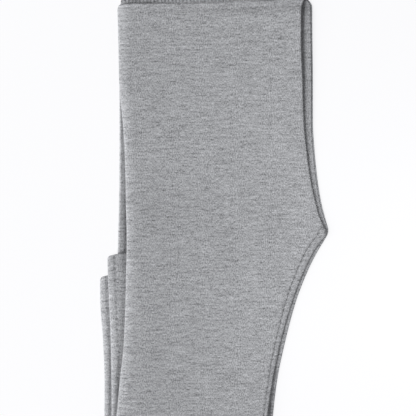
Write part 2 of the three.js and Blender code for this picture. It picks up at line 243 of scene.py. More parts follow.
def look_up(table, y, column):
    """A smooth value down the rows of a table."""
    if y >= table[0]["y"]:
        return table[0][column]
    for i in range(len(table) - 1):
        above, below = table[i], table[i + 1]
        if y >= below["y"]:
            span = below["y"] - above["y"]
            t = (y - above["y"]) / span
            start = row_slope(table, i, column) * span
            end = row_slope(table, i + 1, column) * span
            return (
                (2 * t**3 - 3 * t**2 + 1) * above[column]
                + (t**3 - 2 * t**2 + t) * start
                + (3 * t**2 - 2 * t**3) * below[column]
                + (t**3 - t**2) * end
            )
    return table[-1][column]


class Half:
    """One half of the garment: its columns in the tables, its fold and its hem."""

    def __init__(self, name, fold, hem, base, hem_lift):
        self.name = name
        self.fold = fold
        self.hem = hem
        self.base = base
        self.hem_lift = hem_lift

    @lru_cache(None)
    def seat_side(self, y):
        return look_up(SECTIONS, y, self.name + "_side")

    @lru_cache(None)
    def seat_rise(self, y):
        return look_up(SECTIONS, y, self.name + "_rise")

    @lru_cache(None)
    def shank_side(self, y):
        return look_up(SHANK_EDGES, y, self.name)

    @lru_cache(None)
    def shank_inside(self, y):
        width = self.seat_rise(self.fold) - self.shank_side(self.fold)
        t = (y - self.fold) / (self.hem - self.fold)
        return self.shank_side(y) + width + (HEM_WIDTH - width) * t


LEFT = Half("left", LEFT_FOLD, LEFT_HEM, 2 * LAYER, 0.35)
RIGHT = Half("right", RIGHT_FOLD, RIGHT_HEM, 0.0, 0.9)


# ---------------------------------------------------------------- where each wall lies

@lru_cache(None)
def folded_legs_end(y):
    return max(half.shank_inside(min(y, half.hem)) for half in (LEFT, RIGHT))


def over_shank(half, x, y):
    past_hem = ease((y - half.hem) / HEM_SLOPE_UPPER)
    past_edge = ease((x - folded_legs_end(y)) / EDGE_SLOPE)
    return (1 - past_hem) * (1 - past_edge)


def stack_height(x, y):
    lifted = over_shank(RIGHT, x, y) + over_shank(LEFT, x, y)
    return 2 * LAYER - GAP + LAYER * lifted


@lru_cache(None)
def lean_across(y):
    """The heights of the stack at the outer side and at the rise, and where the rise lies."""
    end = RIGHT.seat_rise(y)
    kept = look_up(PRESS_END, y, "keep") * stack_height(end, y)
    full = stack_height(PRESS_START, y)
    return full - PRESS_FOLDED * ease((full - STACK) / LAYER / 2), kept, end


def pressed(x, y):
    """The share of its height that the stack keeps, so that its top leans evenly to the right."""
    y = min(WAIST_SEAM, max(y, RIGHT_FOLD))
    full, low, end = lean_across(y)
    t = min(1.0, max(0.0, (x - PRESS_START) / (end - PRESS_START)))
    lean = t * t / (2 * PRESS_EASE) if t < PRESS_EASE else t - PRESS_EASE / 2
    target = full + (low - full) * lean / (1 - PRESS_EASE / 2) - PRESS_DIP * 4 * t * (1 - t)
    return target / stack_height(x, y)


def upper_seat(x, y, depth):
    """The height of the upper seat at a depth in it. The cloth's end is turned in at the waist."""
    puff = WAIST_PUFF * ease((y - WAIST_SEAM + PUFF_BELOW_WAIST) / PUFF_LENGTH)
    ridge = WAIST_RIDGE * ease((y - WAIST_SEAM + RIDGE_LENGTH) / RIDGE_LENGTH)
    full = 1 - depth / LEG
    turned_in = max(0.0, 1 - depth / CLOTH)
    share = full + (turned_in - full) * ease((y - WAIST_SEAM + TURNED_IN) / TURNED_IN)
    return stack_height(x, y) + (puff + ridge) * share - depth


def upper_shank_face(y):
    return 2 * LAYER - LAYER * ease((y - RIGHT_HEM) / HEM_SLOPE_INNER)


def lower_shank_face(x, y):
    overhang = (RIGHT.seat_side(y) - x) / OVERHANG_REACH
    return STACK - OVERHANG_SAG * max(0.0, overhang) ** OVERHANG_BEND


def climb_at(half, x, y):
    along = look_up(CLIMB, x, half.name)
    return along * ease((y - WAIST_SEAM + CLIMB_BELOW_WAIST) / CLIMB_BELOW_WAIST)


def valley(distance, width):
    """The dip of a soft layer toward the edge of the layer that lies on it."""
    near = min(1.0, max(0.0, 1 - distance / width))
    return near * near


class Row:
    """One section of a leg: where it is, its edges, and how far along the cloth it lies."""

    def __init__(self, half, run, y, along, turn=0.0):
        self.half = half
        self.run = run
        self.y = y
        self.along = along
        self.turn = turn
        seat = run != "shank"
        self.side = half.seat_side(y) if seat else half.shank_side(y)
        self.rise = half.seat_rise(y) if seat else half.shank_inside(y)

    def sink(self, x, depth):
        """How far the upper wall dips where the next layer lies on it."""
        half = self.half
        if self.run == "seat" and half is RIGHT and depth > LEG / 2:
            fade = ease((self.y - VALLEY_END) / VALLEY_FADE)
            fade *= 1 - ease((x - VALLEY_RIGHT) / VALLEY_RIGHT)
            near_hem = ease(1 - (self.y - LEFT_HEM) / VALLEY_NEAR_HEM)
            deep = SINK + (SINK_DEEP - SINK) * near_hem
            past = (x - LEFT.seat_rise(self.y)) / DIP_WIDTH
            dip = look_up(RISE_DIP, self.y, "dip") * math.exp(-past * past)
            return deep * fade * valley(LEFT.seat_side(self.y) - x, SEAT_VALLEY) + dip
        if self.run == "shank" and half is LEFT and depth > LEG / 2:
            return SINK_DEEP * valley(LEFT.seat_side(self.y) - x, LEFT_SHANK_VALLEY)
        if self.run == "shank" and half is RIGHT and depth < LEG / 2:
            return SINK_DEEP * valley(LEFT.shank_side(self.y) - x, RIGHT_SHANK_VALLEY)
        return 0.0

    def place(self, x, depth):
        """The point at a depth inward from the outer face."""
        half = self.half
        if self.run == "bend":
            radius = HALF_STACK - depth
            up = 1 if half is LEFT else -1
            y = half.fold + HALF_STACK - radius * math.sin(self.turn)
            z = half.base + HALF_STACK + up * radius * math.cos(self.turn)
            return x, y, z * pressed(x, y)
        sink = self.sink(x, depth)
        y = self.y
        if self.run == "seat":
            z = upper_seat(x, y, depth) if half is LEFT else depth - sink
            y += climb_at(half, x, y)
        else:
            z = upper_shank_face(y) + depth - sink
            if half is RIGHT:
                z = lower_shank_face(x, y) - depth - sink
            lifted = look_up(HEM_CLIMB, x - self.side, "climb") + half.hem_lift
            y += lifted * ease((y - half.hem + HEM_CLIMB_LENGTH) / HEM_CLIMB_LENGTH)
        return x, y, z * pressed(x, self.y)


# Stretches of rows, from the waist seam down: where each ends and how far apart its rows are
SEAT_STRETCHES = [
    dict(end=124.0, step=0.5),
    dict(end=-4.0, step=2.0),
    dict(end=-17.0, step=0.45),
    dict(end=-200.0, step=2.0),
]
# The same up the lower leg, measured back from the hem
SHANK_STRETCHES = [
    dict(end=24.0, step=2.2),
    dict(end=12.0, step=0.4),
    dict(end=2.4, step=1.6),
    dict(end=0.0, step=0.3),
]
BEND_ROWS = 14
# The first row of a lower leg lies this far past the bend
AFTER_BEND = 1.0


def steps(start, end, step):
    count = max(1, round(abs(end - start) / step))
    return [start + (end - start) * i / count for i in range(count)]


def leg_rows(half):
    """All rows from the waist seam, round the fold and back to the hem."""
    straight = half.fold + HALF_STACK
    seat = []
    start = WAIST_SEAM
    for stretch in SEAT_STRETCHES:
        end = max(stretch["end"], straight)
        seat += steps(start, end, stretch["step"])
        start = end
        if end == straight:
            break
    rows = [Row(half, "seat", y, y) for y in seat]
    for i in range(BEND_ROWS + 1):
        turn = math.pi * i / BEND_ROWS
        rows.append(Row(half, "bend", half.fold, straight - HALF_STACK * turn, turn))
    after_bend = straight - HALF_STACK * math.pi
    shank = []
    start = straight + AFTER_BEND
    for stretch in SHANK_STRETCHES:
        end = half.hem - stretch["end"]
        shank += steps(start, end, stretch["step"])
        start = end
    shank.append(half.hem)
    rows += [Row(half, "shank", y, after_bend - (y - straight)) for y in shank]
    return rows


# ---------------------------------------------------------------- relief of the cloth

# Soft creases on the faces that show: from one end to the other, with a width and a
# depth. A negative depth is a ridge.
CREASES = [
    dict(face="left_front_seat", start=(60.0, -4.0), end=(22.0, 6.0), width=7.0, depth=0.16),
    dict(face="left_front_seat", start=(54.0, -22.0), end=(18.0, -30.0), width=8.0, depth=0.14),
    dict(face="left_front_seat", start=(50.0, 22.0), end=(20.0, 44.0), width=9.0, depth=-0.12),
    dict(face="left_front_seat", start=(-50.0, 118.0), end=(-30.0, 84.0), width=8.0, depth=0.12),
    dict(face="left_front_seat", start=(30.0, 122.0), end=(22.0, 92.0), width=7.0, depth=0.12),
    dict(face="left_front_seat", start=(-30.0, -104.0), end=(16.0, -118.0), width=9.0, depth=0.12),
    dict(face="left_front_seat", start=(-46.0, -60.0), end=(-20.0, -72.0), width=8.0, depth=-0.1),
    dict(face="right_front_seat", start=(52.0, -8.0), end=(12.0, 4.0), width=8.0, depth=0.3),
    dict(face="right_front_seat", start=(-40.0, 90.0), end=(-8.0, 70.0), width=9.0, depth=0.25),
    dict(face="right_front_seat", start=(10.0, 118.0), end=(24.0, 88.0), width=7.0, depth=0.25),
    dict(face="right_front_seat", start=(-44.0, -60.0), end=(8.0, -76.0), width=9.0, depth=0.3),
    dict(face="right_front_seat", start=(-30.0, -120.0), end=(20.0, -128.0), width=8.0, depth=0.25),
]
# A crease fades in over this share of its length, and out over this share
CREASE_STARTS = 0.35
CREASE_ENDS = 0.5
UNDULATION = 0.1
UNDULATION_LENGTH = 26.0
UNDULATION_START = {"front": 3.1, "back": 11.7}
HEM_STITCH_ROWS = {"front": (15.2, 19.5), "back": (17.0, 20.0)}
STITCH_GROOVE = 0.16
STITCH_GROOVE_WIDTH = 0.7
HEM_PUFF = 0.22
PUFF_INNER_SLOPE = 2.5
PUFF_EDGE_SLOPE = 0.6
# The very end of a hem is rounded over this length, by this share of the cloth
HEM_ROUNDING = 0.9
HEM_ROUND_SHARE = 0.75
# The relief dies out this far from a seam, so that the two edges sewn together lie level
BESIDE_SEAM = 2.0


def crease_depth(crease, x, y):
    start, end = Vector(crease["start"]), Vector(crease["end"])
    along = end - start
    t = (Vector((x, y)) - start).dot(along) / along.length_squared
    beside = beside_line((start, end), x, y)
    fade = ease(t / CREASE_STARTS) * ease((1 - t) / CREASE_ENDS)
    return crease["depth"] * fade * math.exp(-((beside / crease["width"]) ** 2))


def hem_relief(distance, stitched):
    """The turned hem's puff between its stitches and its edge, and the two stitched grooves."""
    puff = HEM_PUFF * ease((stitched[1] - distance) / PUFF_INNER_SLOPE)
    puff *= ease(distance / PUFF_EDGE_SLOPE)
    for row in stitched:
        puff -= STITCH_GROOVE * math.exp(-(((distance - row) / STITCH_GROOVE_WIDTH) ** 2))
    return puff


def relief(row, wall, x):
    """How far the outer face stands out at a point."""
    face = f"{row.half.name}_{wall}_{row.run}"
    high = -sum(crease_depth(c, x, row.y) for c in CREASES if c["face"] == face)
    if row.run == "bend":
        return 0.0
    if face == "right_front_seat":
        return min(0.0, high)
    seed = UNDULATION_START[wall]
    where = Vector((x, row.y, 0.0)) / UNDULATION_LENGTH + Vector((seed, seed, seed))
    high += UNDULATION * noise.noise(where)
    if row.run == "shank":
        high += hem_relief(row.half.hem - row.y, HEM_STITCH_ROWS[wall])
    seam = row.side + SIDE_SEAM if wall == "back" else row.rise - inseam_inset(row)
    return high * ease(abs(x - seam) / BESIDE_SEAM)


def hem_close(row):
    """How far the outer face turns in at the very end of the hem."""
    if row.run != "shank":
        return 0.0
    reach = 1.0 - min(1.0, (row.half.hem - row.y) / HEM_ROUNDING)
    return HEM_ROUND_SHARE * CLOTH * (1 - math.sqrt(max(0.0, 1 - reach * reach)))


# ---------------------------------------------------------------- sections of the panels

FLAT_POINTS = 38
INNER_POINTS = 12
ROLL_POINTS = 9
INNER_ROLL_POINTS = 3
SIDE_UNDER_POINTS = 5
SIDE_OVER_POINTS = 6
# The sewn edges: the distance from the seam and the depth, point by point
GROOVE = [(0.6, 0.0), (0.25, 0.01), (0.1, 0.035), (0.02, 0.14)]
SIDE_GROOVE = [(0.6, 0.0), (0.14, 0.0), (0.015, 0.0), (0.005, 0.0), (0.0, 0.01)]
UNDERCUT = 0.1

# The roll of the cloth at the outer side of a leg: its width on the outer wall, the depth of
# its furthest point, and its width on the inner wall
PLAIN_ROLL = (3.6, 1.25, 2.4)
LEFT_SEAT_ROLL = (7.4, 2.2, 1.8)
RIGHT_SEAT_ROLL = (4.2, 1.3, 1.3)
LEFT_SHANK_ROLL = (2.4, 0.8, 3.8)
RIGHT_SHANK_ROLL = (4.3, 1.7, 2.4)
PLAIN_BELOW = -90.0
PLAIN_EASE = 55.0
SHANK_ROLL_START = 12.0
SHANK_ROLL_EASE = 60.0

# The front panel's end at the inseam, and its lip round the back panel's edge at the rise: the
# distance in from the edge and the depth, point by point
PLAIN_END = [
    (1.2, CLOTH),
    (0.8, CLOTH),
    (0.4, CLOTH),
    (0.0, 0.6),
    (0.04, 0.25),
    (0.12, 0.07),
    (0.3, 0.02),
]
LIP_END = [
    (1.2, CLOTH),
    (0.8, CLOTH + 0.15),
    (0.75, 1.85),
    (0.35, 1.95),
    (0.0, 1.5),
    (0.04, 0.3),
    (0.3, 0.05),
]
# Room that the flat part of the front panel leaves for its end, outside and inside
END_ROOM = 0.75
INNER_END_ROOM = 1.4
# The lip closes, and the back panel starts to roll, where the inseam leaves the edge
LIP_CLOSES = 0.5
ROLL_OPENS = 0.7
OPENING = 0.9
INSEAM_LEAVES = 0.4
INSEAM_EASE = 1.8

# The back panel's roll at the inside of the leg
WIDE_INSIDE_ROLL = 2.6
INSIDE_ROLL = 1.0
FLANGE_ROOM = 0.7
# Its plain rounded edge at the rise
RISE_OPENS = 1.0
RISE_EASE = 9.0
RISE_MARGIN = 0.1
RISE_ROUNDING = 0.5
RISE_STEP = 0.14
RISE_STEP_DEPTH = 0.02
# Room beside its sewn edge, outside and inside
GROOVE_ROOM = 1.5
INNER_GROOVE_ROOM = 1.0


def mixed(start, end, t):
    return tuple(a + (b - a) * t for a, b in zip(start, end))


def line(start, end, depth, count):
    return [(start + (end - start) * i / count, depth) for i in range(count)]


def quarter(center, across, along, count, turned=False):
    """Points of a quarter ellipse. It leaves the flat face, or arrives at it when turned."""
    points = []
    for i in range(count + 1):
        angle = math.pi / 2 * i / count
        sine, cosine = math.sin(angle), math.cos(angle)
        if turned:
            sine, cosine = cosine, sine
        points.append((center[0] + across * sine, center[1] + along * cosine))
    return points


def side_roll(row):
    """The roll at the outer side: soft on the seats, plain at the folds."""
    if row.run == "seat":
        soft = LEFT_SEAT_ROLL if row.half is LEFT else RIGHT_SEAT_ROLL
        return mixed(soft, PLAIN_ROLL, ease((PLAIN_BELOW - row.y) / PLAIN_EASE))
    if row.run == "shank":
        full = LEFT_SHANK_ROLL if row.half is LEFT else RIGHT_SHANK_ROLL
        past_fold = row.y - row.half.fold - SHANK_ROLL_START
        return mixed(PLAIN_ROLL, full, ease(past_fold / SHANK_ROLL_EASE))
    return PLAIN_ROLL


def inseam_inset(row):
    """How far the inseam lies from the edge: it starts at the edge, at the crotch."""
    inset = look_up(INSEAM, row.y, "inset")
    if row.run == "seat":
        inset *= ease((CROTCH + INSEAM_LEAVES - row.y) / INSEAM_EASE)
    return inset


def front_section(row):
    """Outline of the front panel: right end, outer face, roll at the side, flange, inner face.

    Each point is across and depth. The relief applies to the first points, on the flat face.
    """
    inset = inseam_inset(row)
    hook = 1 - ease((inset - LIP_CLOSES) / OPENING)
    right = row.rise - inset - SEAM_SLIT * (1 - hook)
    outside, edge, inside = side_roll(row)
    left = row.side
    seam = left + SIDE_SEAM
    outer = line(right - END_ROOM, left + outside, 0.0, FLAT_POINTS)
    under_center, over_center = (left + inside, edge), (left + outside, edge)
    roll = quarter(over_center, -outside, -edge, ROLL_POINTS)
    under = quarter(under_center, -inside, LEG - edge, ROLL_POINTS, turned=True)[1:]
    flange = [(seam - across - SIDE_SLIT, LEG - depth) for across, depth in SIDE_GROOVE]
    flange.append((seam - UNDERCUT, LEG - CLOTH))
    inner_under = quarter(
        under_center, CLOTH - inside, LEG - CLOTH - edge, SIDE_UNDER_POINTS
    )
    inner_roll = quarter(
        over_center, CLOTH - outside, CLOTH - edge, SIDE_OVER_POINTS, turned=True
    )
    inner = line(left + outside, right - INNER_END_ROOM, CLOTH, INNER_POINTS)[1:]
    end = []
    for plain, lip in zip(PLAIN_END, LIP_END):
        across, depth = mixed(plain, lip, hook)
        end.append((right - across, depth))
    faced = len(outer)
    points = outer + roll + under + flange + inner_under + inner_roll[1:] + inner + end
    return points, faced, faced, right if hook < 1 else None, seam


def back_section(row):
    """Outline of the back panel: side seam, outer face, roll at the inside leg, inner face."""
    inset = inseam_inset(row)
    rolled = ease((inset - ROLL_OPENS) / OPENING)
    open_rise = 0.0
    if row.run == "seat":
        open_rise = ease((row.y - CROTCH + RISE_OPENS) / RISE_EASE)
    left = row.side + SIDE_SEAM
    inset -= SEAM_SLIT
    width = INSIDE_ROLL
    if row.half is LEFT:
        width = min(WIDE_INSIDE_ROLL, max(INSIDE_ROLL, inset - FLANGE_ROOM))
    middle = LEG / 2
    center = (row.rise - width, middle)
    start = [(left + across + SIDE_SLIT, LEG - depth) for across, depth in SIDE_GROOVE[::-1]]
    low = quarter(center, width, middle, ROLL_POINTS)
    high = quarter(center, width, -middle, ROLL_POINTS, turned=True)[1:]
    flange_end = row.rise - inset
    flange = [(flange_end + across, depth) for across, depth in GROOVE]
    flange.append((flange_end, CLOTH))
    inner_high = quarter(center, width - CLOTH, CLOTH - middle, INNER_ROLL_POINTS)
    inner_low = quarter(center, width - CLOTH, middle - CLOTH, INNER_ROLL_POINTS, turned=True)[1:]
    hooked = low + high + flange + inner_high + inner_low
    stop = row.rise - RISE_MARGIN - RISE_INSET * open_rise
    curl_center = (stop - RISE_ROUNDING, LEG - RISE_ROUNDING)
    plain = quarter(curl_center, RISE_ROUNDING, RISE_ROUNDING, ROLL_POINTS)
    for i in range(len(hooked) - len(plain)):
        across = stop - RISE_MARGIN - RISE_STEP * i
        plain.append((across, LEG - CLOTH - RISE_STEP_DEPTH))
    end = [mixed(a, b, rolled) for a, b in zip(plain, hooked)]
    outer = line(left + GROOVE_ROOM, end[0][0], LEG, FLAT_POINTS)
    inner = line(end[-1][0], left + INNER_GROOVE_ROOM, LEG - CLOTH, INNER_POINTS)[1:]
    points = start + outer + end + inner + [(left + UNDERCUT, LEG - CLOTH)]
    return points, len(start) + len(outer), len(start), flange_end if rolled > 0 else None, left


# The end of the centre seam shows beside the crotch, across from the rise there, as needle dimples
# with painted shade
CROTCH_SEAM = ((-1.5, -7.4), (1.2, -11.8))
CROTCH_SEAM_REACH = 9.0
# A distance past all stitches
FAR = 9.0
# The side seam's needle dimples and their painted shade are fainter than the inseam's, and reach
# further
SIDE_SEAM_FAINT = 0.15
SIDE_SEAM_REACH = 0.9


def beside_line(ends, x, y):
    """The distance from a short line."""
    start, end = Vector(ends[0]), Vector(ends[1])
    along = end - start
    t = (Vector((x, y)) - start).dot(along) / along.length_squared
    return (Vector((x, y)) - start - along * min(1.0, max(0.0, t))).length


def hem_distance(row, wall, depth):
    """How far a point of the outer face is from the nearest row of hem stitches."""
    if row.run != "shank" or (wall == "back" and depth < LEG / 2):
        return FAR
    return min(abs(row.half.hem - row.y - stitch) for stitch in HEM_STITCH_ROWS[wall])


# Where each panel lies across the roll of cloth that it was cut from
CLOTH_STARTS = {
    ("left", "front"): 0.0,
    ("left", "back"): 310.0,
    ("right", "front"): 620.0,
    ("right", "back"): 930.0,
}


def loft(name, rows, section, wall):
    """A closed cloth skin through the sections, with its weave laid out in a UV map."""
    sections = [section(row) for row in rows]
    cloth_start = CLOTH_STARTS[rows[0].half.name, wall]
    outward = 1 if wall == "back" else -1
    count = len(sections[0][0])
    bm = bmesh.new()
    bmesh.ops.create_grid(bm, x_segments=count, y_segments=len(rows) - 1, size=1.0)
    weave = bm.loops.layers.uv.new("weave")
    seam_layer = bm.verts.layers.float.new("seam")
    hem_layer = bm.verts.layers.float.new("hem")
    laid = {}
    for vert in bm.verts:
        j = round((vert.co.x + 1) / 2 * count)
        i = round((vert.co.y + 1) / 2 * (len(rows) - 1))
        laid[vert] = (i, j)
    across = []
    for points, _, anchor, _, _ in sections:
        lengths = [0.0]
        for a, b in zip(points, points[1:] + points[:1]):
            lengths.append(lengths[-1] + math.dist(a, b))
        across.append([points[anchor][0] + outward * (s - lengths[anchor]) for s in lengths])
    for face in bm.faces:
        for corner in face.loops:
            i, j = laid[corner.vert]
            corner[weave].uv = ((across[i][j] + cloth_start) * MM, rows[i].along * MM)
    for vert, (i, j) in laid.items():
        points, faced, _, end_seam, side_seam = sections[i]
        x, depth = points[j % count]
        row = rows[i]
        if j % count < faced:
            depth += outward * (relief(row, wall, x) - hem_close(row))
        near = [FAR]
        if depth > LEG / 2:
            near.append(abs(x - side_seam) * SIDE_SEAM_REACH + SIDE_SEAM_FAINT)
        elif depth < LEG / 2 and end_seam is not None:
            near.append(abs(x - end_seam))
        if row.run == "seat" and depth < LEG / 2 and abs(row.y - CROTCH) < CROTCH_SEAM_REACH:
            near.append(beside_line(CROTCH_SEAM, x - row.half.seat_rise(CROTCH), row.y))
        vert[seam_layer] = min(near)
        vert[hem_layer] = hem_distance(row, wall, depth)
        vert.co = Vector(row.place(x, depth)) * MM
    edge_verts = [vert for vert, (i, j) in laid.items() if j in (0, count)]
    bmesh.ops.remove_doubles(bm, verts=edge_verts, dist=1e-7)
    open_edges = [edge for edge in bm.edges if edge.is_boundary]
    caps = bmesh.ops.holes_fill(bm, edges=open_edges, sides=0)["faces"]
    bmesh.ops.triangulate(bm, faces=caps, ngon_method="EAR_CLIP")
    return finished(name, bm)


def finished(name, bm):
    bmesh.ops.recalc_face_normals(bm, faces=bm.faces)
    for face in bm.faces:
        face.smooth = True
    mesh = bpy.data.meshes.new(name)
    bm.to_mesh(mesh)
    bm.free()
    piece = bpy.data.objects.new(name, mesh)
    bpy.context.scene.collection.objects.link(piece)
    return piece


# ---------------------------------------------------------------- waistband

RIB_PITCH = 2.2
RIB_HEIGHT = 0.42
RIB_POINTS = 8
RIB_BASE = 0.6
RIB_STARTS = 1.4
RIB_UNEVEN = 0.25
RIB_NOISE_ACROSS = 0.7
RIB_NOISE_ALONG = 0.05
BAND_CLOTH = 0.95
BAND_ROWS = 16
BAND_FOLD_POINTS = 6
BAND_ROUNDING = 1.6
BAND_GAP = 0.06
# The band is pinched where it is sewn on
BAND_PINCH = 0.15
PINCH_LENGTH = 6.0
BAND_APART = 0.05
# The band's two flattened rings: the upper one goes with the left half
BAND_RINGS = [
    dict(half=RIGHT, low=0.0, high=STACK / 2 - BAND_APART, left=-58.3, right=58.4, seed=4.0),
    dict(half=LEFT, low=STACK / 2 + BAND_APART, high=STACK, left=-58.2, right=56.6, seed=9.0),
]


def band_outline(ring, count, inset):
    """Points round a flattened ring, inset by some of its cloth, each with its way out."""
    thick = (ring["high"] - ring["low"]) / 2 - inset
    left, right = ring["left"] + inset, ring["right"] - inset
    flat = right - left - 2 * thick
    total = 2 * flat + 2 * math.pi * thick
    points = []
    for j in range(count):
        s = total * j / count
        if s < flat:
            points.append(((left + thick + s, thick), (0.0, 1.0)))
        elif s < flat + math.pi * thick:
            turn = (s - flat) / thick
            normal = (math.sin(turn), math.cos(turn))
            points.append(((right - thick + thick * normal[0], thick * normal[1]), normal))
        elif s < 2 * flat + math.pi * thick:
            points.append(((right - thick - (s - flat - math.pi * thick), -thick), (0.0, -1.0)))
        else:
            turn = (s - 2 * flat - math.pi * thick) / thick
            normal = (-math.sin(turn), -math.cos(turn))
            points.append(((left + thick + thick * normal[0], thick * normal[1]), normal))
    return points


def band_ring(ring):
    """A doubled strip of rib, joined in a ring and pressed flat: out, over its fold and back in."""
    width = ring["right"] - ring["left"]
    ribs = round(2 * width / RIB_PITCH)
    count = ribs * RIB_POINTS
    seam_y = WAIST_SEAM + BAND_GAP
    top_y = BAND_HIGH.y - CLIMB[0][ring["half"].name]
    fold = BAND_CLOTH / 2
    path = []
    for i in range(BAND_ROWS + 1):
        path.append((seam_y + (top_y - fold - seam_y) * ease(i / BAND_ROWS), 0.0))
    for i in range(1, BAND_FOLD_POINTS):
        turn = math.pi * i / BAND_FOLD_POINTS
        path.append((top_y - fold + fold * math.sin(turn), fold * (1 - math.cos(turn))))
    path.append((top_y - fold, BAND_CLOTH))
    path.append((seam_y, BAND_CLOTH))
    bm = bmesh.new()
    bmesh.ops.create_grid(bm, x_segments=count, y_segments=len(path), size=1.0)
    weave = bm.loops.layers.uv.new("weave")
    outer, inner = band_outline(ring, count, 0.0), band_outline(ring, count, BAND_CLOTH)
    laid = {}
    for vert in bm.verts:
        j = round((vert.co.x + 1) / 2 * count)
        i = round((vert.co.y + 1) / 2 * len(path))
        laid[vert] = (i, j)
    for face in bm.faces:
        for corner in face.loops:
            i, j = laid[corner.vert]
            y, depth = path[i % len(path)]
            corner[weave].uv = (width * 2 * j / count * MM, (y + depth) * MM)
    middle = (ring["low"] + ring["high"]) / 2
    for vert, (i, j) in laid.items():
        y, depth = path[i % len(path)]
        share = depth / BAND_CLOTH
        (ox, oz), normal = outer[j % count]
        (ix, iz), _ = inner[j % count]
        near_top = 1 - min(1.0, (top_y - y) / BAND_ROUNDING)
        swell = math.sqrt(max(0.0, 1 - near_top**2))
        seam = ease((y - seam_y) / RIB_STARTS)
        rib = 0.5 * (1 - math.cos(2 * math.pi * j / RIB_POINTS))
        where = (j / RIB_POINTS * RIB_NOISE_ACROSS, y * RIB_NOISE_ALONG, ring["seed"])
        uneven = 1 + RIB_UNEVEN * noise.noise(Vector(where))
        high = RIB_HEIGHT * (rib * uneven - RIB_BASE) * seam * (1 - share) * swell
        pinch = 1 - BAND_PINCH * (1 - ease((y - seam_y) / PINCH_LENGTH))
        x = ox + (ix - ox) * share + normal[0] * high
        z = (oz + (iz - oz) * share + normal[1] * high) * pinch
        lift = max(middle + z, 0.0 if ring["low"] == 0 else ring["low"])
        vert.co = Vector((x, y + climb_at(ring["half"], x, WAIST_SEAM), lift)) * MM
    edge_verts = [v for v, (i, j) in laid.items() if j in (0, count) or i in (0, len(path))]
    bmesh.ops.remove_doubles(bm, verts=edge_verts, dist=1e-7)
    return bm


def waistband():
    """Both rings of the band, in one piece."""
    bm = band_ring(BAND_RINGS[0])
    lower = bpy.data.meshes.new("band_lower_half")
    bm.to_mesh(lower)
    bm.free()
    bm = band_ring(BAND_RINGS[1])
    bm.from_mesh(lower)
    bpy.data.meshes.remove(lower)
    return finished("waistband_rib", bm)


# ---------------------------------------------------------------- stitches

STITCH_LENGTH = 2.5
# Half the share of its length that a stitch shows, before it goes into the cloth
STITCH_SHOWS = 0.46
STITCH_SIDES = 8
STITCH_RINGS = 6
THREAD = 0.2
THREAD_STANDS = 0.35


def stitches(name, runs):
    """Short threads laid end to end along runs of points."""
    bm = bmesh.new()
    for run in runs:
        for start, end in zip(run, run[1:]):
            start, end = Vector(start) * MM, Vector(end) * MM
            along = end - start
            turn = along.to_track_quat("X", "Z").to_matrix().to_4x4()
            half_length = along.length * STITCH_SHOWS
            size = Matrix.Diagonal((half_length, THREAD * MM, THREAD * MM, 1.0))
            place = Matrix.Translation((start + end) / 2) @ turn @ size
            bmesh.ops.create_uvsphere(
                bm, u_segments=STITCH_SIDES, v_segments=STITCH_RINGS, radius=1.0, matrix=place
            )
    return finished(name, bm)


def hem_run(half, wall, distance, from_x, to_x):
    """Needle points of one stitched row across the upper face of a folded lower leg."""
    y = half.hem - distance
    row = Row(half, "shank", y, 0.0)
    depth = LEG if wall == "back" else 0.0
    out = 1 if wall == "back" else -1
    count = round((to_x - from_x) / STITCH_LENGTH)
    points = []
    for i in range(count + 1):
        x = from_x + (to_x - from_x) * i / count
        lifted = depth + out * (relief(row, wall, x) + THREAD * THREAD_STANDS)
        points.append(row.place(x, lifted))
    return points


# ---------------------------------------------------------------- finishes

class Value:
    """A shader socket that takes part in sums."""

    def __init__(self, finish, socket):
        self.finish = finish
        self.socket = socket

    def _with(self, operation, *others):
        return self.finish.node("ShaderNodeMath", {"operation": operation}, [self, *others])

    def __add__(self, other):
        return self._with("ADD", other)

    def __radd__(self, other):
        return self + other

    def __sub__(self, other):
        return self._with("SUBTRACT", other)

    def __rsub__(self, other):
        return self * -1 + other

    def __mul__(self, other):
        return self._with("MULTIPLY", other)

    def __rmul__(self, other):
        return self * other

    def __truediv__(self, other):
        return self._with("DIVIDE", other)

    def sine(self):
        return self._with("SINE")

    def magnitude(self):
        return self._with("ABSOLUTE")

    def fraction(self):
        return self._with("FRACT")

    def at_least(self, other):
        return self._with("MAXIMUM", other)

    def at_most(self, other):
        return self._with("MINIMUM", other)


